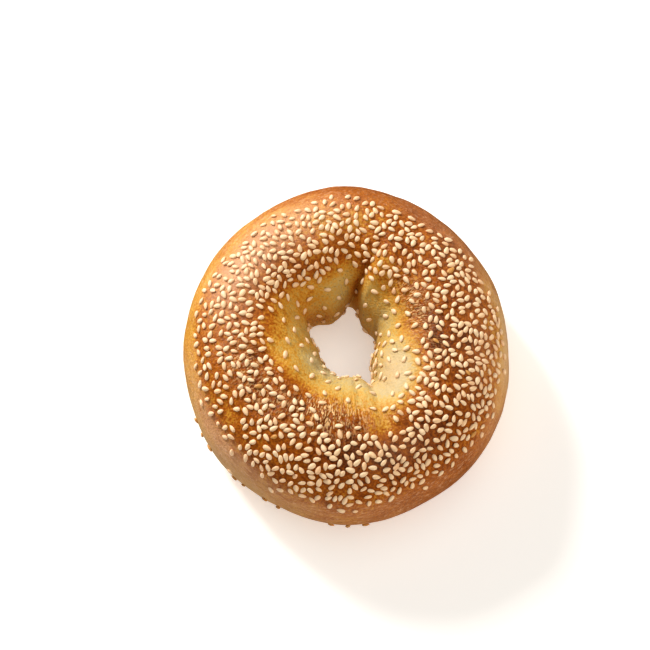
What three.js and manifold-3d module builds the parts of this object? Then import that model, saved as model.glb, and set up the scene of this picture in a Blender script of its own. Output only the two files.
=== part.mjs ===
// A sesame bagel: one baked ring of dough round an uneven hole, with sesame seeds baked onto its crust.
// Millimetres, +Z up. The origin lies under the middle of the ring, on the surface that it rests on.
// Angles run anticlockwise round the ring from +X. A turn runs round the ring's section: 0 at the outer
// side, a quarter turn at the top, a half turn in the hole and three quarters at the base.
import * as THREE from "three";
import { ParametricGeometry } from "three/addons/geometries/ParametricGeometry.js";
import { mergeVertices } from "three/addons/utils/BufferGeometryUtils.js";
import Module from "manifold-3d";

const FULL_TURN = 2 * Math.PI;
const degrees = THREE.MathUtils.degToRad;

// Driving dimensions of the ring.
const WIDTH = 112; // left to right, before the swellings
const DEPTH = 117; // near side to far side, before the swellings
const HEIGHT = 42; // base to the top of the ring
const WIDEST_HEIGHT = 17; // height of the line where the ring is widest
const HOLE_RADIUS = 10.8; // at the flat stretches of the hole's narrowest line
const HOLE_OFFSET = 2.2; // the hole's middle lies this far to the far side

// Roundness of the section: 2 is an ellipse, more is squarer.
const TOP_ROUNDNESS = 2.1;
const BASE_ROUNDNESS = 2.7;
const BASE_CUT = 1.4; // how much of the rounded underside the flat base takes off

// Swellings and flats of the outer side, as an angle, an angular spread and a size outwards.
const OUTER_SWELLINGS = [
  { at: degrees(35), spread: degrees(28), size: -0.7 },
  { at: degrees(92), spread: degrees(24), size: 0.9 },
  { at: degrees(132), spread: degrees(42), size: -1.2 },
  { at: degrees(240), spread: degrees(28), size: 0.5 },
  { at: degrees(278), spread: degrees(20), size: 1.9 },
  { at: degrees(322), spread: degrees(24), size: 2.7 },
];

// Corners of the hole, where it is wider than the hole radius.
const HOLE_CORNERS = [
  { at: degrees(86), spread: degrees(23), size: 3.2 },
  { at: degrees(146), spread: degrees(26), size: 4.6 },
  { at: degrees(272), spread: degrees(26), size: 2.6 },
  { at: degrees(303), spread: degrees(17), size: 4.4 },
];

// Creases in the dough, which run from the hole's wall up over the inner shoulder. The first is the seam
// where the two ends of the rolled dough were pinched together.
const CREASES = [
  { at: degrees(84), spread: degrees(11), depth: 3.6, from: degrees(88), to: degrees(238) },
  { at: degrees(299), spread: degrees(9), depth: 2.2, from: degrees(98), to: degrees(225) },
];

// Gentle lumps of the risen dough: waves round the ring, waves round the section, phases and height.
const LUMPS = [
  { ring: 3, section: 1, ringPhase: 0.6, sectionPhase: 0.4, size: 0.5 },
  { ring: 5, section: 2, ringPhase: 2.1, sectionPhase: 1.3, size: 0.35 },
  { ring: 9, section: 3, ringPhase: 4.0, sectionPhase: 0.2, size: 0.22 },
];
// They fade in from the base upwards, between these two sines of the turn.
const LUMPS_START = -0.7;
const LUMPS_FULL = 0.1;

// Sesame seeds: hulled, drop-shaped and flat.
const SEED_LENGTH = 3.1;
const SEED_WIDTH = 1.85;
const SEED_THICKNESS = 1.1;
const SEED_TAPER = 0.28; // how much narrower the pointed end is
const SEED_SUNK = 0.4; // share of the thickness that is baked into the crust
const SEED_SPACING = 4.6; // nearest two seeds where they lie thickest
const SEED_TRIES = 12000;
const SEED_DRAW = 20417;

// Where the seeds lie: from the line on the outer side down to the hole, thinning out over its rim.
const SEEDED_FROM = degrees(38);
const SEEDED_FROM_SWING = degrees(16); // the left side is bare further up than the right side
const SEED_EDGE = degrees(9); // width of the ragged outer edge
const RIM_TURN = degrees(122); // past this turn the seeds thin out
const SEEDED_TO = degrees(196);
const HOLE_SEED_DENSITY = 0.2; // beside the thickest part
const EDGE_SEED_DENSITY = 0.2; // at the outermost seeds
const CREASE_LIMIT = 0.8; // no seed lies where a crease is deeper than this

// Patches with few seeds, and the share of seeds missing in the middle of one.
const BARE_SHARE = 0.9;
const BARE_PATCHES = [
  { angle: degrees(18), turn: degrees(112), angleSpread: degrees(20), turnSpread: degrees(16) },
  { angle: degrees(62), turn: degrees(56), angleSpread: degrees(14), turnSpread: degrees(14) },
  { angle: degrees(270), turn: degrees(122), angleSpread: degrees(24), turnSpread: degrees(16) },
];

// Facets.
const RING_STEPS = 80;
const SECTION_STEPS = 26;
const SEED_SIDES = 6;
const SLOPE_STEP = degrees(0.5); // over which the crust's slope is taken
const WELD_DISTANCE = 0.001; // points nearer than this are one corner

const CRUST_COLOUR = 0xb9712f;
const CRUST_ROUGHNESS = 0.45;

const wasm = await Module();
wasm.setup();

// The distance from one angle to another, the short way round.
function angleBetween(angle, other) {
  return THREE.MathUtils.euclideanModulo(angle - other + Math.PI, FULL_TURN) - Math.PI;
}

// A smooth rise to 1 at one angle, which fades out over the spread.
function rise(angle, at, spread) {
  return Math.exp(-((angleBetween(angle, at) / spread) ** 2));
}

// The sum of a list of local swellings at one angle.
function swelling(angle, list) {
  return list.reduce((sum, one) => sum + one.size * rise(angle, one.at, one.spread), 0);
}

// Plan radius of the ring's outer side: an ellipse with swellings and flats.
function outerRadius(angle) {
  const ellipse = 1 / Math.hypot(Math.cos(angle) / (WIDTH / 2), Math.sin(angle) / (DEPTH / 2));
  return ellipse + swelling(angle, OUTER_SWELLINGS);
}

// Plan radius of the hole's narrowest line, from the hole's own middle.
function holeRadius(angle) {
  return HOLE_RADIUS + swelling(angle, HOLE_CORNERS);
}

// How far the creases draw the surface in, at one angle and turn.
function creaseDepth(angle, turn) {
  return CREASES.reduce((sum, crease) => {
    const along = THREE.MathUtils.clamp((turn - crease.from) / (crease.to - crease.from), 0, 1);
    return sum + crease.depth * Math.sin(Math.PI * along) * rise(angle, crease.at, crease.spread);
  }, 0);
}

// Height of the dough's lumps over its plain form. The base has none.
function lumpHeight(angle, turn) {
  const clearOfBase = THREE.MathUtils.smoothstep(Math.sin(turn), LUMPS_START, LUMPS_FULL);
  return clearOfBase * LUMPS.reduce((sum, lump) => {
    const ringWave = Math.sin(lump.ring * angle + lump.ringPhase);
    return sum + lump.size * ringWave * Math.cos(lump.section * turn + lump.sectionPhase);
  }, 0);
}

// Raises the size of a number to a power and keeps its sign.
function signedPower(value, power) {
  return Math.sign(value) * Math.abs(value) ** power;
}

// The ring's plain section at one turn: across, from -1 in the hole to 1 at the outer side, and height.
function section(turn) {
  const above = Math.sin(turn) >= 0;
  const power = 2 / (above ? TOP_ROUNDNESS : BASE_ROUNDNESS);
  const reach = above ? HEIGHT - WIDEST_HEIGHT : WIDEST_HEIGHT + BASE_CUT;
  const height = WIDEST_HEIGHT + reach * signedPower(Math.sin(turn), power);
  return { across: signedPower(Math.cos(turn), power), height: Math.max(0, height) };
}

// A point on the crust. The section reaches from the hole's line to the outer line, and the creases and
// lumps move the point along the line from the section's middle.
function crustPoint(angle, turn, target) {
  const inner = holeRadius(angle);
  const outer = outerRadius(angle);
  const halfWidth = (outer - inner) / 2;
  const scale = 1 + (lumpHeight(angle, turn) - creaseDepth(angle, turn)) / halfWidth;
  const { across, height } = section(turn);
  const share = (1 + across * scale) / 2;
  const x = THREE.MathUtils.lerp(inner, outer, share) * Math.cos(angle);
  const y = (1 - share) * HOLE_OFFSET + THREE.MathUtils.lerp(inner, outer, share) * Math.sin(angle);
  const z = height <= 0 ? 0 : WIDEST_HEIGHT + (height - WIDEST_HEIGHT) * scale;
  return target.set(x, y, z);
}

// The crust's outward direction at a point, from its slopes round the ring and round the section.
function crustNormal(angle, turn) {
  const alongRing = crustPoint(angle + SLOPE_STEP, turn, new THREE.Vector3());
  alongRing.sub(crustPoint(angle - SLOPE_STEP, turn, new THREE.Vector3()));
  const alongSection = crustPoint(angle, turn + SLOPE_STEP, new THREE.Vector3());
  alongSection.sub(crustPoint(angle, turn - SLOPE_STEP, new THREE.Vector3()));
  return alongRing.cross(alongSection).normalize();
}

// The bare ring. Its rows run from the base's outer edge over the top to the base's inner edge, and the
// last strip between those two edges is the flat base.
function doughGeometry() {
  const baseEdge = Math.asin((WIDEST_HEIGHT / (WIDEST_HEIGHT + BASE_CUT)) ** (BASE_ROUNDNESS / 2));
  const span = Math.PI + 2 * baseEdge;
  return new ParametricGeometry(
    (u, v, target) => {
      const row = Math.min(1, (v * SECTION_STEPS) / (SECTION_STEPS - 1));
      const turn = v === 1 ? -baseEdge : -baseEdge + span * row;
      crustPoint(FULL_TURN * u, turn, target);
      if (v === 1 || row === 1 || row === 0) target.z = 0;
    },
    RING_STEPS,
    SECTION_STEPS,
  );
}

// One seed as a faceted lens: its long axis along X, its pointed end at +X, its flat sides up and down.
function seedGeometry() {
  const lens = new THREE.SphereGeometry(1, SEED_SIDES, 2).rotateX(Math.PI / 2);
  const points = lens.getAttribute("position");
  for (let i = 0; i < points.count; i++) {
    points.setY(i, points.getY(i) * (1 - SEED_TAPER * points.getX(i)));
  }
  return lens.scale(SEED_LENGTH / 2, SEED_WIDTH / 2, SEED_THICKNESS / 2);
}

// Even draws from 0 to 1 that are the same on every run.
function drawsFrom(start) {
  const factor = 48271;
  const modulus = 2147483647;
  let state = start;
  return () => {
    state = (state * factor) % modulus;
    return state / modulus;
  };
}

// How thickly the seeds lie, from 0 to 1.
function seedDensity(angle, turn) {
  const from = SEEDED_FROM - SEEDED_FROM_SWING * Math.cos(angle);
  if (turn < from || turn > SEEDED_TO || creaseDepth(angle, turn) > CREASE_LIMIT) return 0;
  const outerEdge = THREE.MathUtils.smoothstep(turn, from, from + SEED_EDGE);
  const pastRim = THREE.MathUtils.smoothstep(turn, RIM_TURN - SEED_EDGE, RIM_TURN + SEED_EDGE);
  const rim = THREE.MathUtils.lerp(1, HOLE_SEED_DENSITY, pastRim);
  const bare = BARE_PATCHES.reduce((kept, patch) => {
    const here = rise(angle, patch.angle, patch.angleSpread) * rise(turn, patch.turn, patch.turnSpread);
    return kept * (1 - BARE_SHARE * here);
  }, 1);
  return Math.max(outerEdge, EDGE_SEED_DENSITY) * rim * bare;
}

// Scatters the seeds: each draw is kept if no seed lies nearer than the spacing that the density gives.
function sowSeeds() {
  const draw = drawsFrom(SEED_DRAW);
  const seeds = [];
  for (let i = 0; i < SEED_TRIES; i++) {
    const angle = FULL_TURN * draw();
    const turn = SEEDED_TO * draw();
    const facing = FULL_TURN * draw();
    const density = seedDensity(angle, turn);
    if (density === 0) continue;
    const place = crustPoint(angle, turn, new THREE.Vector3());
    const spacing = SEED_SPACING / Math.sqrt(density);
    if (seeds.every((seed) => seed.place.distanceTo(place) > spacing)) {
      seeds.push({ place, facing, normal: crustNormal(angle, turn) });
    }
  }
  return seeds;
}

// A seed laid flat on the crust, turned to its facing and sunk a little.
function laidSeed({ place, facing, normal }) {
  const uphill = new THREE.Vector3(0, 0, 1).cross(normal).normalize();
  const along = uphill.applyAxisAngle(normal, facing);
  const across = new THREE.Vector3().crossVectors(normal, along);
  const lift = SEED_THICKNESS * (0.5 - SEED_SUNK);
  const frame = new THREE.Matrix4().makeBasis(along, across, normal);
  frame.setPosition(place.clone().addScaledVector(normal, lift));
  return seedGeometry().applyMatrix4(frame);
}

// A closed geometry as a solid that can be joined to others.
function solidOf(geometry) {
  const bare = geometry.clone();
  bare.deleteAttribute("normal");
  bare.deleteAttribute("uv");
  const merged = mergeVertices(bare, WELD_DISTANCE);
  return new wasm.Manifold(
    new wasm.Mesh({
      numProp: 3,
      vertProperties: merged.getAttribute("position").array,
      triVerts: new Uint32Array(merged.index.array),
    }),
  );
}

// A joined solid back as a geometry.
function geometryOf(solid) {
  const { vertProperties, triVerts } = solid.getMesh();
  const geometry = new THREE.BufferGeometry();
  geometry.setAttribute("position", new THREE.BufferAttribute(vertProperties, 3));
  geometry.setIndex(new THREE.BufferAttribute(triVerts, 1));
  geometry.computeVertexNormals();
  return geometry;
}

// The whole bagel: the ring with every seed fused to its crust.
function bagelMesh() {
  const seeds = sowSeeds().map((seed) => solidOf(laidSeed(seed)));
  const fused = seeds.reduce((solid, seed) => solid.add(seed), solidOf(doughGeometry()));
  const material = new THREE.MeshStandardMaterial({
    color: CRUST_COLOUR,
    roughness: CRUST_ROUGHNESS,
    metalness: 0,
  });
  const mesh = new THREE.Mesh(geometryOf(fused), material);
  mesh.name = "bagel";
  const middle = new THREE.Box3().setFromObject(mesh).getCenter(new THREE.Vector3());
  mesh.position.set(-middle.x, -middle.y, 0);
  return mesh;
}

const bagel = new THREE.Group();
bagel.add(bagelMesh());

export default bagel;
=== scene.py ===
"""A sesame bagel with its baked crust and its full sprinkling of seeds, in a plain studio.

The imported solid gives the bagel's place and size. The ring of dough is modelled again here with the fine
relief of its skin, and the sesame seeds are laid on it one by one at their true size.
Lengths are in millimetres until a mesh is made, and angles are in degrees. An angle runs round the ring,
anticlockwise from +X. A turn runs round the ring's section: 0 at the outer side, 90 at the top, 180 in the
hole, and 270, or -90, in the middle of the base.
"""

import logging
import math
from collections.abc import Iterable
from dataclasses import dataclass, field
from enum import Enum, IntEnum

import bmesh
import bpy
import numpy as np
from mathutils import Matrix, Vector, noise


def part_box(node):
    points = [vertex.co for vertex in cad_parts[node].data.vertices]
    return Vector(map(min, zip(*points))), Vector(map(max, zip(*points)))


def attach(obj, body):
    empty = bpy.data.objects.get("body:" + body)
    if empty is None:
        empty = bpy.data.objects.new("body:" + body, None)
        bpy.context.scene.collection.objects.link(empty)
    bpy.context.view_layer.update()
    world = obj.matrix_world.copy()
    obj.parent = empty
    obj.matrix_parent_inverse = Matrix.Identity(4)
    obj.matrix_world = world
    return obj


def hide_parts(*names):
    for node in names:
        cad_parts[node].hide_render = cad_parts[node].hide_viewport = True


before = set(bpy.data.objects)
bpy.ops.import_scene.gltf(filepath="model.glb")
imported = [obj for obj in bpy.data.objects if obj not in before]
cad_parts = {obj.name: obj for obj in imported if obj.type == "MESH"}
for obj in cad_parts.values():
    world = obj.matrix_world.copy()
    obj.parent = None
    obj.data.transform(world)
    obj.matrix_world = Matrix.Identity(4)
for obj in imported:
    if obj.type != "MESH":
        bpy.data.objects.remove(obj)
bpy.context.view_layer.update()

MM = 0.001
BODY = "root"
NOISE_MIDDLE = 0.5  # the middle of a noise texture's values
NOISE_REACH = 0.25  # how far most of its values lie from there
OCTAVE_FALL = 1.0  # how fast the finer sizes of noise weaken
OCTAVE_STEP = 2.0  # how many times finer each size is than the last
Tree = bpy.types.NodeTree
Socket = bpy.types.NodeSocket
log = logging.getLogger("bagel")


class CrustMask(Enum):
    """The crust's own mesh attributes, which its finish reads."""

    BAKE = "bake"  # how brown the crust is, from 0, pale, to 1, dark, with painted light and shade in it
    WALL = "wall"  # 1 on the steamed wall of the hole
    SIDE = "side"  # 1 on the bare outer side
    WRINKLE = "wrinkle"  # 1 where the skin is drawn into folds
    BLISTER = "blister"  # 1 where the skin is crackled
    BLOOM = "bloom"  # how much painted sheen lies on the skin, from 0 to 1
    GRAIN = "grain"  # the place along the ring and round the section, in metres


class SeedMask(Enum):
    """The seeds' own mesh attributes, which their finish reads."""

    TINT = "tint"  # from 0, ivory, to 1, toasted
    TIP = "tip"  # from 0 at the round end to 1 at the pointed end


class MixSocket(IntEnum):
    """The numbers of a Mix node's colour sockets, which share their names with its other sockets."""

    FACTOR = 0
    FIRST = 6
    SECOND = 7
    RESULT = 2


def linear(hex_colour: str) -> tuple[float, float, float, float]:
    """Turns an sRGB colour into linear red, green, blue and alpha.

    Args:
        hex_colour: Six hex digits, such as "d9a05b".

    Returns:
        The linear parts from 0 to 1, with an alpha of 1.
    """
    parts = (int(hex_colour[i : i + 2], 16) / 255 for i in (0, 2, 4))
    red, green, blue = (p / 12.92 if p <= 0.04045 else ((p + 0.055) / 1.055) ** 2.4 for p in parts)
    return red, green, blue, 1.0


def per_metre(size: float) -> float:
    """The texture scale that gives a pattern features of this size in millimetres."""
    return 1 / (size * MM)


def add_node(
    tree: Tree, kind: str, settings: dict | None = None, links: dict | None = None
) -> bpy.types.NodeOutputs:
    """Adds one shader node, with its settings and the links into it.

    Args:
        tree: The material's node tree.
        kind: The node's type.
        settings: Values by the name or number of an input, or else by the name of a property. The value of
            "stops" is a colour ramp's colours by their positions.
        links: Output sockets by the name or number of the input that each goes to.

    Returns:
        The new node's outputs.
    """
    node = tree.nodes.new(kind)
    for name, value in (settings or {}).items():
        if name == "stops":
            ramp = node.color_ramp.elements
            for _ in range(len(value) - len(ramp)):
                ramp.new(1.0)
            for element, (position, colour) in zip(ramp, value.items()):
                element.position = position
                element.color = colour
        elif isinstance(name, int) or name in node.inputs:
            node.inputs[name].default_value = value
        else:
            setattr(node, name, value)
    for name, output in (links or {}).items():
        tree.links.new(output, node.inputs[name])
    return node.outputs


def add_marks(tree: Tree, base: Socket, marks: dict[str, Socket], shares: dict[str, float]) -> Socket:
    """Adds marks to a value of a material, each times its own share.

    Args:
        tree: The material's node tree.
        base: The value without the marks.
        marks: The marks' outputs by name.
        shares: How much of each mark is added, by name.

    Returns:
        The value with the marks.
    """
    for name, share in shares.items():
        settings = {"operation": "MULTIPLY_ADD", 1: share}
        base = add_node(tree, "ShaderNodeMath", settings, {0: marks[name], 2: base})[0]
    return base


def rise(value: np.ndarray, at: float | np.ndarray, spread: float) -> np.ndarray:
    """A smooth rise to 1 at one angle or turn, which fades out over a spread."""
    gap = (value - at + 180) % 360 - 180
    return np.exp(-((gap / spread) ** 2))


def smoothstep(value: np.ndarray, low: float | np.ndarray, high: float | np.ndarray) -> np.ndarray:
    """A smooth step from 0 at one value to 1 at another."""
    share = np.clip((value - low) / (high - low), 0, 1)
    return share * share * (3 - 2 * share)


def signed_power(value: np.ndarray, power: np.ndarray) -> np.ndarray:
    """Raises the size of a number to a power and keeps its sign."""
    return np.sign(value) * np.abs(value) ** power


def noise_at(places: np.ndarray, octaves: int = 2) -> np.ndarray:
    """Smooth noise of about -1 to 1 at many places.

    Args:
        places: Points by row, in units of the noise's largest features.
        octaves: How many sizes of features it has.

    Returns:
        One value for each place.
    """
    values = (noise.fractal(Vector(place), OCTAVE_FALL, OCTAVE_STEP, octaves) for place in places)
    return np.fromiter(values, float, len(places))


@dataclass(frozen=True)
class Swelling:
    """A local rise of a line round the ring: its middle, its spread and its size."""

    at: float
    spread: float
    size: float


@dataclass(frozen=True)
class Crease:
    """A fold that runs round the section from one turn to another. One of negative depth is a lip.

    The slant is how far its angle moves with each degree of turn from its start.
    """

    at: float
    spread: float
    depth: float
    start: float
    end: float
    slant: float = 0.0


@dataclass(frozen=True)
class Lump:
    """A wave of the risen dough: waves round the ring and the section, their phases and the height."""

    ring: int
    section: int
    ring_phase: float
    section_phase: float
    size: float


@dataclass(frozen=True)
class Patch:
    """An oval patch of the crust: its middle, its spreads and how strong it is there."""

    angle: float
    turn: float
    angle_spread: float
    turn_spread: float
    strength: float = 1.0

    def weight(self, angle: np.ndarray, turn: np.ndarray) -> np.ndarray:
        """How much of the patch there is at each place."""
        across = rise(turn, self.turn, self.turn_spread)
        return self.strength * rise(angle, self.angle, self.angle_spread) * across


def swelling_sum(swellings: Iterable[Swelling], angle: np.ndarray) -> np.ndarray:
    """The sum of many swellings at each angle."""
    return sum((s.size * rise(angle, s.at, s.spread) for s in swellings), np.zeros_like(angle))


def patch_sum(patches: Iterable[Patch], angle: np.ndarray, turn: np.ndarray) -> np.ndarray:
    """The sum of many patches at each place."""
    return sum((patch.weight(angle, turn) for patch in patches), np.zeros_like(angle))


@dataclass(frozen=True)
class RingForm:
    """The ring of dough as the solid has it, with the finer folds of its skin and the lips of its hole."""

    width: float = 112.0
    depth: float = 117.0
    height: float = 42.0
    widest_height: float = 17.0
    hole_radius: float = 10.8
    hole_offset: float = 2.2
    top_roundness: float = 2.1
    base_roundness: float = 2.7
    base_cut: float = 1.4
    outer_swellings: tuple[Swelling, ...] = (
        Swelling(35, 28, -0.7),
        Swelling(92, 24, 0.9),
        Swelling(132, 42, -1.2),
        Swelling(240, 28, 0.5),
        Swelling(278, 20, 1.9),
        Swelling(322, 24, 2.7),
    )
    hole_corners: tuple[Swelling, ...] = (
        Swelling(86, 23, 3.2),
        Swelling(146, 26, 4.6),
        Swelling(272, 26, 2.6),
        Swelling(303, 17, 4.4),
    )
    creases: tuple[Crease, ...] = (
        Crease(84, 11, 3.6, 88, 238),
        Crease(299, 9, 2.2, 98, 225),
    )
    fine_creases: tuple[Crease, ...] = (
        Crease(67.5, 3.2, 2.4, 92, 230, 0.17),
        Crease(78, 6, -1.2, 92, 180, 0.17),
        Crease(59, 6, -0.7, 96, 165, 0.1),
        Crease(290, 3.0, 1.0, 76, 205, 0.08),
        Crease(281, 2.6, 0.5, 86, 165),
        Crease(304, 2.8, 0.5, 100, 175),
        Crease(150, 5, 0.7, 112, 215),
        Crease(48, 26, -1.4, 130, 236),  # the right lip of the hole's wall
        Crease(126, 34, -2.2, 140, 236),  # its far lip
    )
    lumps: tuple[Lump, ...] = (
        Lump(3, 1, 0.6, 0.4, 0.5),
        Lump(5, 2, 2.1, 1.3, 0.35),
        Lump(9, 3, 4.0, 0.2, 0.22),
    )
    lumps_start: float = -0.7
    lumps_full: float = 0.1
    slope_step: float = 0.4

    def folds(self, angle: np.ndarray, turn: np.ndarray) -> np.ndarray:
        """How far the creases draw the surface in.

        Args:
            angle: Angles round the ring.
            turn: Turns round the section.

        Returns:
            One depth for each place.
        """
        depth = np.zeros_like(angle)
        for crease in self.creases + self.fine_creases:
            along = np.clip((turn - crease.start) / (crease.end - crease.start), 0, 1)
            at = crease.at + crease.slant * (turn - crease.start)
            depth += crease.depth * np.sin(np.pi * along) * rise(angle, at, crease.spread)
        return depth

    def swell(self, angle: np.ndarray, turn: np.ndarray) -> np.ndarray:
        """The height of the dough's lumps, which fade out towards the base.

        Args:
            angle: Angles round the ring.
            turn: Turns round the section.

        Returns:
            One height for each place.
        """
        ring = np.radians(angle)
        section = np.radians(turn)
        height = np.zeros_like(angle)
        for lump in self.lumps:
            wave = np.sin(lump.ring * ring + lump.ring_phase)
            height += lump.size * wave * np.cos(lump.section * section + lump.section_phase)
        return height * smoothstep(np.sin(section), self.lumps_start, self.lumps_full)

    def section(self, turn: np.ndarray) -> tuple[np.ndarray, np.ndarray]:
        """The ring's plain section.

        Args:
            turn: Turns round the section.

        Returns:
            How far across each place is, from -1 in the hole to 1 at the outer side, and its height.
        """
        sine = np.sin(np.radians(turn))
        above = sine >= 0
        power = 2 / np.where(above, self.top_roundness, self.base_roundness)
        reach = np.where(above, self.height - self.widest_height, self.widest_height + self.base_cut)
        height = np.maximum(0, self.widest_height + reach * signed_power(sine, power))
        return signed_power(np.cos(np.radians(turn)), power), height

    def points(self, angle: np.ndarray, turn: np.ndarray) -> np.ndarray:
        """Places on the crust.

        Args:
            angle: Angles round the ring.
            turn: Turns round the section.

        Returns:
            One point a row, in millimetres, in the ring's own frame.
        """
        radians = np.radians(angle)
        oval = 1 / np.hypot(np.cos(radians) / (self.width / 2), np.sin(radians) / (self.depth / 2))
        outer = oval + swelling_sum(self.outer_swellings, angle)
        inner = self.hole_radius + swelling_sum(self.hole_corners, angle)
        scale = 1 + (self.swell(angle, turn) - self.folds(angle, turn)) * 2 / (outer - inner)
        across, height = self.section(turn)
        share = (1 + across * scale) / 2
        radius = inner + (outer - inner) * share
        raised = self.widest_height + (height - self.widest_height) * scale
        y = (1 - share) * self.hole_offset + radius * np.sin(radians)
        return np.column_stack([radius * np.cos(radians), y, np.where(height <= 0, 0, raised)])

    def slopes(self, angle: np.ndarray, turn: np.ndarray) -> np.ndarray:
        """The crust's outward directions, as long as the skin's area for each square degree.

        Args:
            angle: Angles round the ring.
            turn: Turns round the section.

        Returns:
            One direction a row.
        """
        step = self.slope_step
        ringwards = self.points(angle + step, turn) - self.points(angle - step, turn)
        upwards = self.points(angle, turn + step) - self.points(angle, turn - step)
        return np.cross(ringwards, upwards) / (2 * step) ** 2


@dataclass(frozen=True)
class CrustSkin:
    """The skin on the ring: its fine relief and where it is brown, pale, wrinkled or crackled."""

    form: RingForm = field(default_factory=RingForm)
    ring_radius: float = 33.0
    section_radius: float = 22.0

    # The relief of the skin.
    ripple_size: float = 8.0
    ripple_height: float = 0.3
    wrinkle_width: float = 3.0
    wrinkle_length: float = 13.0
    wrinkle_height: float = 0.5
    wrinkle_level: float = 0.5
    blister_width: float = 1.7
    blister_length: float = 4.0
    blister_height: float = 0.42
    blister_octaves: int = 3
    streak_width: float = 1.8
    streak_length: float = 6.0
    streak_height: float = 0.05
    relief_from: float = 0.6
    relief_full: float = 5.0

    # Where the hole's wall, the bare outer side and the hole's rim lie, by turn.
    wall_rise: tuple[float, float] = (116.0, 142.0)
    wall_fall: tuple[float, float] = (220.0, 245.0)
    side_rise: tuple[float, float] = (-70.0, -45.0)
    side_fade: float = 20.0
    bare_to: tuple[tuple[float, float], ...] = (
        (0, 19),
        (10, 26),
        (20, 38),
        (40, 43),
        (52, 51),
        (75, 54),
        (95, 58),
        (135, 51),
        (180, 32),
        (200, 28),
        (215, 24),
        (235, 22),
        (255, 15),
        (270, 13),
        (310, 20),
        (335, 22),
    )
    rim_turn: float = 122.0
    rim_spread: float = 30.0

    # Where the skin is wrinkled or crackled, how brown it is with painted light and shade, and where a
    # painted sheen lies.
    wrinkled: tuple[Patch, ...] = (
        Patch(271, 102, 20, 18, 1.0),
        Patch(296, 114, 14, 20, 0.7),
        Patch(66, 112, 12, 16, 0.7),
        Patch(26, 117, 20, 11, 0.5),
        Patch(150, 140, 20, 22, 0.5),
    )
    blistered: tuple[Patch, ...] = (
        Patch(16, 114, 26, 11, 1.1),
        Patch(206, 82, 12, 12, 0.75),
        Patch(228, 85, 12, 10, 0.65),
        Patch(256, 96, 14, 12, 0.85),
        Patch(271, 101, 18, 15, 0.7),
        Patch(335, 100, 14, 10, 0.5),
    )
    bake_and_shade_by_turn: tuple[tuple[float, float], ...] = (
        (-90, 0.72),
        (-62, 0.6),
        (-40, 0.55),
        (-10, 0.64),
        (30, 0.7),
        (55, 0.77),
        (94, 0.79),
        (108, 0.64),
        (122, 0.44),
        (138, 0.2),
        (158, 0.12),
        # Deep in the hole the wall turns browner, a painted shade, down to the base, which is baked brown.
        (178, 0.26),
        (215, 0.34),
        (243, 0.5),
        (270, 0.72),
    )
    # Paler towards the lit upper left and browner towards the shaded lower right: partly painted light and
    # shade.
    bake_and_shade_by_side: tuple[tuple[float, float], ...] = (
        (0, 0.3),
        (20, 0.56),
        (45, 0.7),
        (90, 0.78),
        (135, 0.56),
        (180, 0.49),
        (225, 0.47),
        (270, 0.65),
        (315, 0.76),
        (335, 0.62),
    )
    bake_and_shade_patches: tuple[Patch, ...] = (
        # On the outer side.
        Patch(40, -34, 400, 16, -0.16),  # all round
        Patch(215, -8, 40, 12, -0.24),
        Patch(222, 24, 16, 9, 0.12),
        Patch(357, 34, 26, 22, -0.18),
        # On the shoulder.
        Patch(57, 54, 12, 12, 0.1),
        Patch(70, 54, 16, 18, -0.06),
        # Paler on the lit upper-left shoulder: painted light under the painted sheen.
        Patch(134, 76, 46, 22, -0.14),
        Patch(185, 64, 30, 26, -0.08),
        Patch(220, 50, 16, 16, -0.05),
        Patch(248, 64, 16, 18, -0.1),
        Patch(276, 74, 26, 9, 0.12),
        Patch(280, 66, 40, 24, 0.1),
        Patch(318, 66, 26, 20, 0.05),
        # On the top.
        Patch(4, 100, 24, 10, 0.06),
        Patch(31, 99, 15, 13, -0.1),
        Patch(95, 92, 26, 20, -0.19),
        Patch(206, 109, 18, 8, -0.1),
        Patch(212, 84, 18, 11, 0.08),
        Patch(230, 102, 22, 9, 0.06),
        Patch(254, 95, 14, 11, 0.1),
        Patch(272, 105, 14, 8, -0.06),
        Patch(290, 90, 8, 14, -0.34),
        Patch(340, 102, 18, 10, 0.14),
        Patch(354, 84, 24, 14, 0.07),
        # On the hole's rim.
        Patch(14, 113, 24, 9, 0.12),
        Patch(30, 131, 14, 9, 0.08),
        Patch(90, 118, 16, 16, 0.14),
        Patch(135, 120, 26, 14, 0.1),
        Patch(266, 116, 30, 12, -0.08),
        Patch(313, 118, 22, 20, -0.46),
        # On the hole's wall.
        Patch(45, 138, 24, 36, 0.14),
        # The next three are painted shade: in the seam's crevice and on the wall that faces away from the
        # window.
        Patch(75, 138, 8, 18, 0.2),
        Patch(80, 164, 9, 20, 0.4),
        Patch(140, 156, 40, 36, 0.28),
        Patch(204, 150, 18, 20, 0.24),
        Patch(225, 140, 26, 26, -0.12),
        Patch(242, 148, 42, 28, -0.08),
        Patch(345, 160, 24, 16, 0.22),
    )
    # Painted sheen on the bare side, where the glaze catches the light at a glancing angle.
    painted_sheen_by_side: tuple[tuple[float, float], ...] = (
        (0, 0.6),
        (20, 0.3),
        (45, 0.14),
        (90, 0.0),
        (135, 0.12),
        (180, 0.0),
        (225, 0.56),
        (270, 0.2),
        (315, 0.06),
    )
    # Painted sheen, broadest on the lit upper-left shoulder.
    painted_sheen_patches: tuple[Patch, ...] = (
        Patch(136, 77, 34, 20, 0.58),
        Patch(160, 66, 16, 20, 0.3),
        Patch(353, 46, 18, 26, 0.16),
        Patch(291, 66, 16, 14, 0.1),
        Patch(316, 128, 22, 22, 0.28),
        Patch(104, 72, 20, 16, 0.06),
        Patch(32, 66, 24, 18, 0.08),
    )
    rim_shifts: tuple[Swelling, ...] = (
        Swelling(0, 18, -9.0),
        Swelling(115, 45, -8.0),
        Swelling(320, 28, 18.0),
    )

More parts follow.
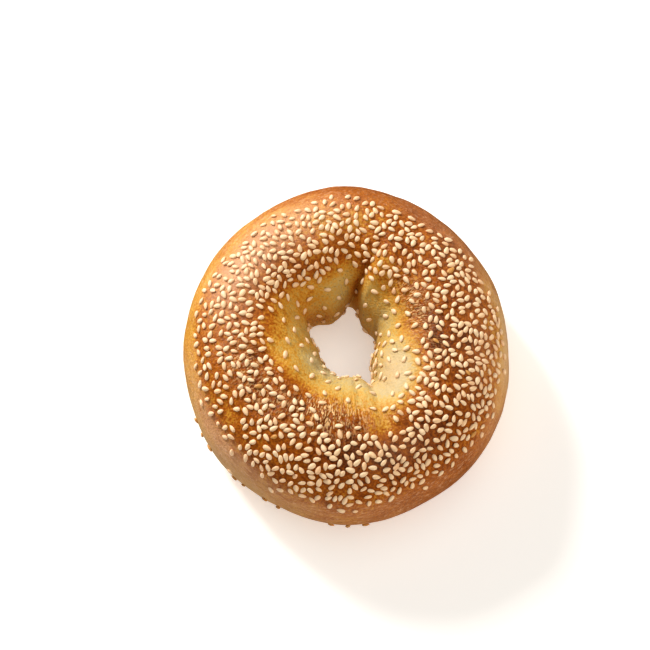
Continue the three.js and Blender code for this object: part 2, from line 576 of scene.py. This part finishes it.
    def grain(self, angle: np.ndarray, turn: np.ndarray) -> np.ndarray:
        """Unrolls the skin, for the patterns that follow the dough.

        Args:
            angle: Angles round the ring.
            turn: Turns round the section.

        Returns:
            Places along the ring and round the section, one a row.
        """
        radians = np.radians(angle)
        along = self.ring_radius * np.column_stack([np.cos(radians), np.sin(radians)])
        return np.column_stack([along, self.section_radius * np.radians(turn)])

    def wall(self, turn: np.ndarray) -> np.ndarray:
        """1 on the wall of the hole and 0 on the rest."""
        return smoothstep(turn, *self.wall_rise) * (1 - smoothstep(turn, *self.wall_fall))

    def bare_edge(self, angle: np.ndarray) -> np.ndarray:
        """The turn up to which the outer side is bare."""
        return np.interp(angle, *zip(*self.bare_to), period=360)

    def side(self, angle: np.ndarray, turn: np.ndarray) -> np.ndarray:
        """1 on the bare outer side and 0 on the rest."""
        edge = self.bare_edge(angle)
        return smoothstep(turn, *self.side_rise) * (1 - smoothstep(turn, edge, edge + self.side_fade))

    def bake(self, angle: np.ndarray, turn: np.ndarray) -> np.ndarray:
        """How brown the crust is, with painted shade in the seam and the hole and painted light on the lit
        side.

        Args:
            angle: Angles round the ring.
            turn: Turns round the section.

        Returns:
            From 0, pale, to 1, dark, for each place.
        """
        moved = turn + swelling_sum(self.rim_shifts, angle) * rise(turn, self.rim_turn, self.rim_spread)
        brown = np.interp(moved, *zip(*self.bake_and_shade_by_turn))
        side_brown = np.interp(angle, *zip(*self.bake_and_shade_by_side), period=360)
        brown += (side_brown - brown) * self.side(angle, turn)
        return np.clip(brown + patch_sum(self.bake_and_shade_patches, angle, turn), 0, 1)

    def bloom(self, angle: np.ndarray, turn: np.ndarray) -> np.ndarray:
        """How much painted sheen lies on the skin, from 0 to 1."""
        side_sheen = np.interp(angle, *zip(*self.painted_sheen_by_side), period=360)
        return side_sheen * self.side(angle, turn) + patch_sum(self.painted_sheen_patches, angle, turn)

    def relief(self, angle: np.ndarray, turn: np.ndarray) -> np.ndarray:
        """The height of the skin's ripples, wrinkles, blisters and streaks over the plain form.

        Args:
            angle: Angles round the ring.
            turn: Turns round the section.

        Returns:
            One height for each place.
        """
        grain = self.grain(angle, turn)
        radial = grain / (self.wrinkle_width, self.wrinkle_width, self.wrinkle_length)
        ringwise = grain / (self.streak_length, self.streak_length, self.streak_width)
        height = self.ripple_height * noise_at(grain / self.ripple_size)
        wrinkles = self.wrinkle_level - np.abs(noise_at(radial))
        height += self.wrinkle_height * wrinkles * patch_sum(self.wrinkled, angle, turn)
        drawn = grain / (self.blister_width, self.blister_width, self.blister_length)
        blisters = noise_at(drawn, self.blister_octaves)
        height += self.blister_height * blisters * patch_sum(self.blistered, angle, turn)
        return height + self.streak_height * noise_at(ringwise) * self.side(angle, turn)

    def points(self, angle: np.ndarray, turn: np.ndarray) -> np.ndarray:
        """Places on the finished skin.

        Args:
            angle: Angles round the ring.
            turn: Turns round the section.

        Returns:
            One point a row, in millimetres, in the ring's own frame.
        """
        plain = self.form.points(angle, turn)
        outward = self.form.slopes(angle, turn)
        outward /= np.linalg.norm(outward, axis=1, keepdims=True)
        clear = smoothstep(plain[:, 2], self.relief_from, self.relief_full)
        return plain + outward * (self.relief(angle, turn) * clear)[:, None]


@dataclass(frozen=True)
class Pattern:
    """A noise pattern of a finish: its features' size in millimetres, detail, strength and stretch."""

    size: float
    detail: float
    strength: float
    stretch: tuple[float, float, float] = (1.0, 1.0, 1.0)

    def add(self, tree: Tree, place: Socket) -> Socket:
        """Adds the pattern to a material.

        Args:
            tree: The material's node tree.
            place: The coordinates, in metres.

        Returns:
            Values round 0, mostly within the strength.
        """
        scale = tuple(per_metre(self.size * part) for part in self.stretch)
        spot = add_node(tree, "ShaderNodeMapping", {"Scale": scale}, {"Vector": place})["Vector"]
        settings = {"Scale": 1.0, "Detail": self.detail}
        value = add_node(tree, "ShaderNodeTexNoise", settings, {"Vector": spot})["Fac"]
        steepness = self.strength / NOISE_REACH
        centred = {"operation": "MULTIPLY_ADD", 1: steepness, 2: -NOISE_MIDDLE * steepness}
        return add_node(tree, "ShaderNodeMath", centred, {0: value})[0]

    def add_peaks(self, tree: Tree, place: Socket, levels: tuple[float, float], most: float) -> Socket:
        """Adds only the peaks of the pattern to a material.

        Args:
            tree: The material's node tree.
            place: The coordinates, in metres.
            levels: The pattern's values where a peak starts and where it is full.
            most: The value of a full peak.

        Returns:
            Values from 0 to that of a full peak.
        """
        low, full = levels
        drawn = {"From Min": low, "From Max": full, "To Max": most}
        return add_node(tree, "ShaderNodeMapRange", drawn, {"Value": self.add(tree, place)})["Result"]


@dataclass(frozen=True)
class BakedCrust:
    """The crust of a boiled and baked bagel.

    Boiling sets a thin starchy skin that bakes to a tight, glossy, golden brown. The eye sees brown mottled
    with gold and a soft sheen. Pale colour along the crackled skin's lines is painted glints, pale strokes
    on the stretched sides are painted glints over fine streaks, and a painted sheen lies on the lit
    shoulder and the sides. The hole has a pale matt wall with small pores, as it only steams.
    """

    shades: tuple[tuple[float, str], ...] = (
        (0.0, "c9b684"),  # cream
        (0.24, "d4b05f"),  # straw
        (0.46, "d29531"),  # golden
        (0.66, "ae5d0e"),  # golden brown
        (0.86, "843e08"),  # brown
        (1.0, "562304"),  # dark brown
    )
    # The colour of the painted sheen.
    bloom: str = "e6b48c"
    painted_glint: str = "f4c283"
    pore: str = "b98f45"

    mottle: Pattern = Pattern(7.0, 4.0, 0.12)
    flecks: Pattern = Pattern(0.9, 3.0, 0.19)
    streaks: Pattern = Pattern(1.5, 3.0, 0.075, (2.2, 2.2, 1.0))
    wrinkles: Pattern = Pattern(1.3, 3.0, 0.16, (1.0, 1.0, 5.0))
    # The strokes and the crackle's lines are painted glints: pale colour where highlights would be. On real
    # skin they are finer. They are drawn as coarse as they need to be to show in a picture of the whole
    # bagel.
    glint_strokes: Pattern = Pattern(0.55, 1.0, 1.0, (1.4, 1.4, 1.0))
    crackle: Pattern = Pattern(0.5, 1.0, 1.0, (1.0, 1.0, 2.6))
    fine_skin: Pattern = Pattern(0.7, 3.0, 0.11)
    pores: Pattern = Pattern(0.9, 1.0, 1.0)
    pore_level: float = -0.7
    stroke_levels: tuple[float, float] = (0.35, 0.6)
    stroke_share: float = 0.36
    line_levels: tuple[float, float] = (0.06, 0.32)
    line_share: float = 0.86

    side_mottle: float = 0.5
    sheen_streak_share: float = -4.6
    line_height: float = 0.5
    streak_depth: float = -0.3
    wrinkle_depth: float = -0.9
    pore_depth: float = -0.25
    roughness: float = 0.3
    matt_wall: float = 0.36
    specular: float = 0.24
    ior: float = 1.45

    def masks(self, tree: Tree) -> dict[CrustMask, Socket]:
        """Adds the crust's mesh attributes.

        Args:
            tree: The material's node tree.

        Returns:
            The output of each attribute.
        """
        outputs = {}
        for mask in CrustMask:
            attribute = add_node(tree, "ShaderNodeAttribute", {"attribute_name": mask.value})
            outputs[mask] = attribute["Vector" if mask is CrustMask.GRAIN else "Fac"]
        return outputs

    def marks(self, tree: Tree, masks: dict[CrustMask, Socket]) -> dict[str, Socket]:
        """Adds the marks on the crust, each of them only where it belongs.

        Args:
            tree: The material's node tree.
            masks: The outputs of the crust's mesh attributes.

        Returns:
            By name, the mottling, the side's streaks and painted glint strokes, the folds, the crackle's
            lines with their painted glints, the wall's pores, the streaks cut into the painted sheen and
            the fine unevenness of all the skin.
        """
        place = add_node(tree, "ShaderNodeTexCoord")["Object"]
        both = {0: self.mottle.add(tree, place), 1: self.flecks.add(tree, place)}
        mottle = add_node(tree, "ShaderNodeMath", {}, both)[0]
        fade = {"To Min": 1.0, "To Max": self.side_mottle}
        share = add_node(tree, "ShaderNodeMapRange", fade, {"Value": masks[CrustMask.SIDE]})["Result"]
        grain = masks[CrustMask.GRAIN]
        glint_stroke = self.glint_strokes.add_peaks(tree, grain, self.stroke_levels, self.stroke_share)
        line = self.crackle.add_peaks(tree, grain, self.line_levels, self.line_share)
        hollow = {"operation": "LESS_THAN", 1: self.pore_level}
        pore = add_node(tree, "ShaderNodeMath", hollow, {0: self.pores.add(tree, place)})[0]
        parts = {
            "mottle": (mottle, share),
            "streak": (self.streaks.add(tree, grain), masks[CrustMask.SIDE]),
            "glint_stroke": (glint_stroke, masks[CrustMask.SIDE]),
            "wrinkle": (self.wrinkles.add(tree, grain), masks[CrustMask.WRINKLE]),
            "line": (line, masks[CrustMask.BLISTER]),
            "pore": (pore, masks[CrustMask.WALL]),
        }
        marks = {}
        for name, (pattern, where) in parts.items():
            marks[name] = add_node(
                tree, "ShaderNodeMath", {"operation": "MULTIPLY"}, {0: pattern, 1: where}
            )[0]
        # The streaks cut into the painted sheen.
        sheen_streaked = {0: marks["streak"], 1: masks[CrustMask.BLOOM]}
        marks["sheen_streak"] = add_node(tree, "ShaderNodeMath", {"operation": "MULTIPLY"}, sheen_streaked)[0]
        marks["fine_skin"] = self.fine_skin.add(tree, place)
        return marks

    def colour(self, tree: Tree, masks: dict[CrustMask, Socket], marks: dict[str, Socket]) -> Socket:
        """Adds the crust's colour, browned by the bake, its painted shade and its marks, under painted
        sheen and glints.

        Args:
            tree: The material's node tree.
            masks: The outputs of the crust's mesh attributes.
            marks: The outputs of the crust's marks.

        Returns:
            The colour.
        """
        # The wrinkles' grooves are also painted browner: painted shade in the folds.
        shares = {"mottle": 1.0, "streak": 1.0, "wrinkle": 1.0}
        browned = add_marks(tree, masks[CrustMask.BAKE], marks, shares)
        stops = {bake: linear(shade) for bake, shade in self.shades}
        crust = add_node(tree, "ShaderNodeValToRGB", {"stops": stops}, {"Fac": browned})["Color"]
        # Over the crust go the painted sheen with the side's painted glint strokes, the painted glints
        # along the crackle's lines, and the pores.
        shares = {"sheen_streak": self.sheen_streak_share, "glint_stroke": 1.0}
        bloom = add_marks(tree, masks[CrustMask.BLOOM], marks, shares)
        covers = {self.bloom: bloom, self.painted_glint: marks["line"], self.pore: marks["pore"]}
        for cover, share in covers.items():
            tint = {"data_type": "RGBA", MixSocket.SECOND: linear(cover)}
            layers = {MixSocket.FACTOR: share, MixSocket.FIRST: crust}
            crust = add_node(tree, "ShaderNodeMix", tint, layers)[MixSocket.RESULT]
        return crust

    def material(self) -> bpy.types.Material:
        """Builds the crust's shader from the crust's mesh attributes and its object coordinates.

        Returns:
            The material.
        """
        material = bpy.data.materials.new("baked_bagel_crust")
        material.use_nodes = True
        tree = material.node_tree
        masks = self.masks(tree)
        marks = self.marks(tree, masks)

        matt = {"operation": "MULTIPLY_ADD", 1: self.matt_wall, 2: self.roughness}
        rough = add_node(tree, "ShaderNodeMath", matt, {0: masks[CrustMask.WALL]})[0]

        depths = {
            "line": self.line_height,
            "streak": self.streak_depth,
            "wrinkle": self.wrinkle_depth,
            "pore": self.pore_depth,
        }
        height = add_marks(tree, marks["fine_skin"], marks, depths)
        bump = add_node(tree, "ShaderNodeBump", {"Distance": MM}, {"Height": height})

        shader = tree.nodes["Principled BSDF"]
        shader.inputs["IOR"].default_value = self.ior
        shader.inputs["Specular IOR Level"].default_value = self.specular
        tree.links.new(self.colour(tree, masks, marks), shader.inputs["Base Color"])
        tree.links.new(rough, shader.inputs["Roughness"])
        tree.links.new(bump["Normal"], shader.inputs["Normal"])
        return material


@dataclass(frozen=True)
class HulledSesame:
    """Hulled sesame seeds, baked on.

    A hulled seed is smooth, waxy and slightly see-through. The eye sees ivory to peach drops with a soft
    gloss, a little darker at the pointed end, and here and there a toasted one.
    """

    shades: tuple[tuple[float, str], ...] = (
        (0.0, "fbdcb3"),  # ivory
        (0.4, "f8d0a2"),  # cream
        (0.75, "f1be8e"),  # peach
        (1.0, "cd9148"),  # toasted
    )
    tip: str = "e0ac72"

    grain: Pattern = Pattern(0.6, 2.0, 0.06)
    tip_from: float = 0.72
    tip_share: float = 0.5
    relief: float = 0.3
    roughness: float = 0.42
    ior: float = 1.47

    def material(self) -> bpy.types.Material:
        """Builds the seeds' shader from the seeds' mesh attributes and object coordinates.

        Returns:
            The material.
        """
        material = bpy.data.materials.new("hulled_sesame_seed")
        material.use_nodes = True
        tree = material.node_tree
        place = add_node(tree, "ShaderNodeTexCoord")["Object"]
        tint = add_node(tree, "ShaderNodeAttribute", {"attribute_name": SeedMask.TINT.value})["Fac"]
        tip = add_node(tree, "ShaderNodeAttribute", {"attribute_name": SeedMask.TIP.value})["Fac"]
        grain = self.grain.add(tree, place)
        shade = add_node(tree, "ShaderNodeMath", {}, {0: tint, 1: grain})[0]
        stops = {at: linear(shade) for at, shade in self.shades}
        body = add_node(tree, "ShaderNodeValToRGB", {"stops": stops}, {"Fac": shade})["Color"]
        tipped = {"From Min": self.tip_from, "To Max": self.tip_share}
        share = add_node(tree, "ShaderNodeMapRange", tipped, {"Value": tip})["Result"]
        coloured = add_node(
            tree,
            "ShaderNodeMix",
            {"data_type": "RGBA", MixSocket.SECOND: linear(self.tip)},
            {MixSocket.FACTOR: share, MixSocket.FIRST: body},
        )[MixSocket.RESULT]
        bump = add_node(
            tree, "ShaderNodeBump", {"Strength": self.relief, "Distance": MM}, {"Height": grain}
        )["Normal"]

        shader = tree.nodes["Principled BSDF"]
        shader.inputs["Roughness"].default_value = self.roughness
        shader.inputs["IOR"].default_value = self.ior
        tree.links.new(coloured, shader.inputs["Base Color"])
        tree.links.new(bump, shader.inputs["Normal"])
        return material


@dataclass(frozen=True)
class WhiteTable:
    """A white table top of matt acrylic, lit a little from below, so shadows on it stay pale."""

    white: str = "f4f3f1"
    roughness: float = 0.7
    glow: float = 0.42

    def material(self) -> bpy.types.Material:
        """Builds the table's shader.

        Returns:
            The material.
        """
        material = bpy.data.materials.new("matt_white_acrylic")
        material.use_nodes = True
        shader = material.node_tree.nodes["Principled BSDF"]
        shader.inputs["Base Color"].default_value = linear(self.white)
        shader.inputs["Roughness"].default_value = self.roughness
        shader.inputs["Emission Color"].default_value = linear(self.white)
        shader.inputs["Emission Strength"].default_value = self.glow
        return material


def new_piece(name: str, mesh: bpy.types.Mesh, material: bpy.types.Material) -> bpy.types.Object:
    """Makes an object of a mesh at the origin.

    Args:
        name: The piece's name.
        mesh: Its mesh, in metres, in place.
        material: Its only material.

    Returns:
        The object, linked to the scene.
    """
    mesh.materials.append(material)
    mesh.shade_smooth()
    piece = bpy.data.objects.new(name, mesh)
    bpy.context.scene.collection.objects.link(piece)
    return piece


def set_mask(mesh: bpy.types.Mesh, mask: Enum, values: np.ndarray) -> None:
    """Stores a value or a vector for each vertex of a mesh.

    Args:
        mesh: The mesh.
        mask: The attribute's name.
        values: One number, or three, for each vertex.
    """
    vector = values.ndim == 2
    attribute = mesh.attributes.new(mask.value, "FLOAT_VECTOR" if vector else "FLOAT", "POINT")
    attribute.data.foreach_set("vector" if vector else "value", values.astype(np.float32).ravel())


@dataclass
class DoughRing:
    """The baked ring of dough."""

    skin: CrustSkin
    finish: BakedCrust = field(default_factory=BakedCrust)
    ring_steps: int = 480
    section_steps: int = 200
    join_distance: float = 0.001
    outline_step: float = 0.5

    def offset(self) -> np.ndarray:
        """How far the ring is moved to lie where the solid does, whose low sides are bare dough.

        Returns:
            The move along X, Y and Z.
        """
        around = np.arange(0, 360, self.outline_step)
        outline = self.skin.form.points(around, np.zeros_like(around))
        low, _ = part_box("bagel")
        return np.array([low.x / MM - outline[:, 0].min(), low.y / MM - outline[:, 1].min(), 0])

    def roll(self) -> bpy.types.Mesh:
        """Rolls a flat sheet into a tube and bends the tube into a plain ring, with its edges joined.

        Returns:
            The ring's mesh, with round sections.
        """
        ring = bmesh.new()
        bmesh.ops.create_grid(ring, x_segments=self.ring_steps, y_segments=self.section_steps, size=math.pi)
        for vertex in ring.verts:
            angle, turn, _ = vertex.co
            radius = self.skin.ring_radius + self.skin.section_radius * math.cos(turn)
            height = self.skin.section_radius * math.sin(turn)
            vertex.co = (radius * math.cos(angle), radius * math.sin(angle), height)
        bmesh.ops.remove_doubles(ring, verts=ring.verts, dist=self.join_distance)
        bmesh.ops.recalc_face_normals(ring, faces=ring.faces)
        mesh = bpy.data.meshes.new("dough_ring")
        ring.to_mesh(mesh)
        ring.free()
        return mesh

    def build(self) -> bpy.types.Object:
        """Makes a plain ring and gives each of its points its place on the skin.

        Returns:
            The finished piece.
        """
        mesh = self.roll()
        places = np.empty(len(mesh.vertices) * 3, np.float32)
        mesh.vertices.foreach_get("co", places)
        x, y, z = places.reshape(-1, 3).T.astype(float)
        angle = np.degrees(np.arctan2(y, x))
        turn = (np.degrees(np.arctan2(z, np.hypot(x, y) - self.skin.ring_radius)) + 90) % 360 - 90
        points = (self.skin.points(angle, turn) + self.offset()) * MM
        mesh.vertices.foreach_set("co", points.astype(np.float32).ravel())
        mesh.update()
        set_mask(mesh, CrustMask.BAKE, self.skin.bake(angle, turn))
        set_mask(mesh, CrustMask.WALL, self.skin.wall(turn))
        set_mask(mesh, CrustMask.SIDE, self.skin.side(angle, turn))
        set_mask(mesh, CrustMask.WRINKLE, patch_sum(self.skin.wrinkled, angle, turn))
        set_mask(mesh, CrustMask.BLISTER, patch_sum(self.skin.blistered, angle, turn))
        set_mask(mesh, CrustMask.BLOOM, self.skin.bloom(angle, turn))
        set_mask(mesh, CrustMask.GRAIN, self.skin.grain(angle, turn) * MM)
        return self.dress(new_piece("dough_ring", mesh, self.finish.material()))

    def dress(self, piece: bpy.types.Object) -> bpy.types.Object:
        """Lets the ring stand for the solid, which it hides, and move with the bagel.

        Args:
            piece: The ring.

        Returns:
            The same piece.
        """
        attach(piece, BODY)
        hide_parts("bagel")
        return piece


@dataclass
class SesameSprinkle:
    """The sesame seeds on the crust, all in one piece."""

    skin: CrustSkin
    offset: np.ndarray
    finish: HulledSesame = field(default_factory=HulledSesame)

    # One seed.
    length: float = 2.7
    width: float = 1.58
    thickness: float = 0.95
    size_spread: float = 0.06
    taper: float = 0.22
    point: float = 0.14
    sunk: float = 0.18
    lean: float = 7.0
    segments: int = 8
    rings: int = 6

    # How the seeds are drawn and tinted.
    draw: int = 20417
    tries: int = 120000
    least_gap: float = 1.36
    most_gap: float = 1.57
    tint: float = 0.27
    paler_in_hole: float = 0.3
    tint_spread: float = 0.16
    most_tint: float = 0.8
    toasted_share: float = 0.008

    # Where the seeds lie and how thickly.
    edge: float = 26.0
    seeded_to: tuple[tuple[float, float], ...] = (
        (0, 94),
        (45, 112),
        (90, 117),
        (135, 125),
        (180, 95),
        (225, 91),
        (270, 95),
        (315, 94),
    )
    rim_fade: float = 20.0
    least_density: float = 0.02
    lowest_turn: float = -40.0
    highest_turn: float = 195.0
    wall_density: float = 0.1
    wall_patches: tuple[Patch, ...] = (
        Patch(335, 150, 30, 40, 0.22),
        Patch(255, 170, 40, 22, 0.2),
        Patch(40, 130, 20, 12, 0.16),
    )
    low_patches: tuple[Patch, ...] = (
        Patch(214, -11, 6, 8, 0.4),
        Patch(233, -8, 4, 7, 0.4),
        Patch(247, -9, 3, 6, 0.3),
        Patch(273, -12, 6, 6, 0.14),
    )
    bare_patches: tuple[Patch, ...] = (
        Patch(18, 108, 24, 12, 0.6),
        Patch(271, 100, 20, 15, 1.15),
        Patch(290, 90, 7, 13, 0.8),
        Patch(69, 56, 12, 12, 2.0),
        Patch(220, 49, 12, 10, 0.8),
        Patch(90, 117, 13, 11, 0.5),
        Patch(190, 58, 22, 16, 0.45),
    )

    def density(self, angle: np.ndarray, turn: np.ndarray) -> np.ndarray:
        """How thickly the seeds lie.

        Args:
            angle: Angles round the ring.
            turn: Turns round the section.

        Returns:
            From 0, bare, to about 1, thickest, for each place.
        """
        start = self.skin.bare_edge(angle)
        seeded = smoothstep(turn, start, start + self.edge)
        wall = self.wall_density + patch_sum(self.wall_patches, angle, turn)
        end = np.interp(angle, *zip(*self.seeded_to), period=360)
        past_rim = smoothstep(turn, end, end + self.rim_fade)
        kept = np.clip(1 - patch_sum(self.bare_patches, angle, turn), 0, 1)
        top = seeded * (1 - past_rim + wall * past_rim) * kept
        return top + patch_sum(self.low_patches, angle, turn)

    def frames(self, outward: np.ndarray, draw: np.random.Generator) -> np.ndarray:
        """The seeds' own axes: along, across and outward.

        Args:
            outward: The skin's outward direction under each seed.
            draw: Where the random facings and leans come from.

        Returns:
            Three axes by row for each seed.
        """
        count = len(outward)
        up = outward + draw.normal(0, math.tan(math.radians(self.lean)), (count, 3))
        up /= np.linalg.norm(up, axis=1, keepdims=True)
        level = np.cross(up, draw.normal(0, 1, (count, 3)))
        level /= np.linalg.norm(level, axis=1, keepdims=True)
        return np.stack([level, np.cross(up, level), up], axis=1)

    def sow(self, draw: np.random.Generator) -> tuple[np.ndarray, np.ndarray, np.ndarray]:
        """Scatters the seeds over the skin, each clear of the others by a gap that the density sets.

        Args:
            draw: Where the random places come from.

        Returns:
            The seeds' angles, their turns, and three axes by row for each.
        """
        angle = draw.uniform(0, 360, self.tries)
        turn = draw.uniform(self.lowest_turn, self.highest_turn, self.tries)
        slopes = self.skin.form.slopes(angle, turn)
        area = np.linalg.norm(slopes, axis=1)
        density = self.density(angle, turn)
        wanted = (draw.uniform(0, 1, self.tries) < area / area.max()) & (density > self.least_density)
        angle, turn = angle[wanted], turn[wanted]
        axes = self.frames((slopes / area[:, None])[wanted], draw)
        gap = draw.uniform(self.least_gap, self.most_gap, len(angle)) / np.sqrt(density[wanted])
        middles = self.skin.form.points(angle, turn)
        half = axes[:, 0] * (self.length - self.width) / 2
        ends = np.stack([middles - half, middles + half], axis=1)
        kept: list[int] = []
        for i, pair in enumerate(ends):
            others = ends[kept].reshape(-1, 1, 3)
            if np.linalg.norm(others - pair, axis=2).min(initial=np.inf) > gap[i]:
                kept.append(i)
        return angle[kept], turn[kept], axes[kept]

    def seed_shape(self) -> tuple[np.ndarray, list[list[int]]]:
        """One drop-shaped seed of unit half sizes, with its pointed end at +X.

        Returns:
            Its points by row, and its faces.
        """
        seed = bmesh.new()
        bmesh.ops.create_uvsphere(
            seed,
            u_segments=self.segments,
            v_segments=self.rings,
            radius=1,
            matrix=Matrix.Rotation(math.pi / 2, 4, "Y"),
        )
        for vertex in seed.verts:
            narrowing = 1 - self.taper * vertex.co.x - self.point * max(0, vertex.co.x) ** 2
            vertex.co.y *= narrowing
            vertex.co.z *= narrowing
        bmesh.ops.recalc_face_normals(seed, faces=seed.faces)
        points = np.array([vertex.co for vertex in seed.verts])
        faces = [[vertex.index for vertex in face.verts] for face in seed.faces]
        seed.free()
        return points, faces

    def build(self) -> bpy.types.Object:
        """Lays every seed on the skin and joins them in one mesh.

        Returns:
            The finished piece.
        """
        draw = np.random.default_rng(self.draw)
        angle, turn, axes = self.sow(draw)
        count = len(angle)
        shape, faces = self.seed_shape()
        size = draw.normal(1, self.size_spread, (count, 1)) * draw.normal(1, self.size_spread, (count, 3))
        half_sizes = size * (self.length / 2, self.width / 2, self.thickness / 2)
        lift = half_sizes[:, 2] * (1 - 2 * self.sunk)
        middles = self.skin.points(angle, turn) + self.offset + axes[:, 2] * lift[:, None]
        local = shape[None] * half_sizes[:, None]
        points = middles[:, None] + np.einsum("nvi,nij->nvj", local, axes)
        mesh = bpy.data.meshes.new("sesame_seeds")
        joined = [[v + i * len(shape) for v in face] for i in range(count) for face in faces]
        mesh.from_pydata((points.reshape(-1, 3) * MM).tolist(), [], joined)
        tint = draw.normal(self.tint, self.tint_spread, count) - self.paler_in_hole * self.skin.wall(turn)
        tint = np.clip(tint, 0, self.most_tint)
        # A few seeds are toasted, and so are those that fell low on the side.
        tint[(draw.uniform(0, 1, count) < self.toasted_share) | (turn < 0)] = 1
        set_mask(mesh, SeedMask.TINT, np.repeat(tint, len(shape)))
        set_mask(mesh, SeedMask.TIP, np.tile((shape[:, 0] + 1) / 2, count))
        log.info("%d seeds", count)
        return self.dress(new_piece("sesame_seeds", mesh, self.finish.material()))

    def dress(self, piece: bpy.types.Object) -> bpy.types.Object:
        """Lets the seeds move with the bagel."""
        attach(piece, BODY)
        return piece


@dataclass(frozen=True)
class SoftBox:
    """A square soft light: its place and size in metres, its power, its tint and whether gloss shows it."""

    name: str
    place: tuple[float, float, float]
    size: float
    power: float
    tint: tuple[float, float, float] = (1.0, 1.0, 1.0)
    in_gloss: bool = True


@dataclass
class Studio:
    """A white table, soft lights all round and a camera that looks down on the bagel."""

    table: WhiteTable = field(default_factory=WhiteTable)
    table_radius: float = 3.0
    table_sides: int = 64
    surroundings: float = 0.15
    lights: tuple[SoftBox, ...] = (
        SoftBox("window", (-0.75, 0.85, 0.8), 0.26, 18.0, (1.0, 0.985, 0.955)),
        SoftBox("low_window", (-0.9, 1.05, 0.36), 0.8, 12.0, (1.0, 0.985, 0.955), False),
        SoftBox("ceiling", (0.2, 0.1, 1.5), 1.4, 9.0, (1.0, 0.96, 0.9), False),
        SoftBox("fill", (1.15, -0.85, 0.45), 1.2, 12.0, (1.0, 0.87, 0.68), False),
    )
    bagel_middle: float = 19.0
    camera_elevation: float = 70.0
    camera_distance: float = 620.0
    lens: float = 100.0
    sensor: float = 36.0
    frame_pixels: float = 650.0
    middle_pixel: tuple[float, float] = (347.0, 351.0)

    def build(self) -> None:
        """Makes the table, the lights, the surroundings and the camera."""
        self.lay_table()
        target = Vector((0, 0, self.bagel_middle * MM))
        for box in self.lights:
            lamp = bpy.data.lights.new(box.name, "AREA")
            lamp.size = box.size
            lamp.energy = box.power
            lamp.color = box.tint
            light = bpy.data.objects.new(box.name, lamp)
            light.visible_glossy = box.in_gloss
            self.place(light, Vector(box.place), target)
        world = bpy.data.worlds.new("white_surroundings")
        world.use_nodes = True
        world.node_tree.nodes["Background"].inputs["Color"].default_value = (1, 1, 1, 1)
        world.node_tree.nodes["Background"].inputs["Strength"].default_value = self.surroundings
        world.cycles_visibility.glossy = False
        bpy.context.scene.world = world
        bpy.context.scene.view_settings.view_transform = "Standard"
        self.set_camera(target)

    def lay_table(self) -> None:
        """Makes the table top under the bagel."""
        top = bmesh.new()
        bmesh.ops.create_circle(top, cap_ends=True, segments=self.table_sides, radius=self.table_radius)
        mesh = bpy.data.meshes.new("table_top")
        top.to_mesh(mesh)
        top.free()
        table = new_piece("table_top", mesh, self.table.material())
        table.visible_glossy = False

    def place(self, thing: bpy.types.Object, at: Vector, target: Vector) -> None:
        """Links a light or a camera and turns it to a target.

        Args:
            thing: The light or camera.
            at: Where it stands.
            target: What it looks at.
        """
        bpy.context.scene.collection.objects.link(thing)
        thing.location = at
        thing.rotation_euler = (target - at).to_track_quat("-Z", "Y").to_euler()

    def set_camera(self, target: Vector) -> None:
        """Sets the camera so that the bagel's middle falls on its own pixel.

        Args:
            target: The bagel's middle.
        """
        elevation = math.radians(self.camera_elevation)
        back = Vector((0, -math.cos(elevation), math.sin(elevation)))
        up = Vector((0, math.sin(elevation), math.cos(elevation)))
        metres_a_pixel = self.camera_distance * MM * self.sensor / self.lens / self.frame_pixels
        right_of_middle = self.middle_pixel[0] - self.frame_pixels / 2
        below_middle = self.middle_pixel[1] - self.frame_pixels / 2
        aim = target + (up * below_middle - Vector((1, 0, 0)) * right_of_middle) * metres_a_pixel
        data = bpy.data.cameras.new("camera")
        data.lens = self.lens
        data.sensor_width = self.sensor
        camera = bpy.data.objects.new("camera", data)
        self.place(camera, target + back * self.camera_distance * MM, aim)
        bpy.context.scene.camera = camera


def main() -> None:
    """Builds the bagel and its studio, and reports each piece."""
    logging.basicConfig(level=logging.INFO, format="%(message)s")
    skin = CrustSkin()
    ring = DoughRing(skin)
    seeds = SesameSprinkle(skin, ring.offset())
    for piece in (ring.build(), seeds.build()):
        log.info("%s: %d faces", piece.name, len(piece.data.polygons))
    Studio().build()


if __name__ == "__main__":
    main()
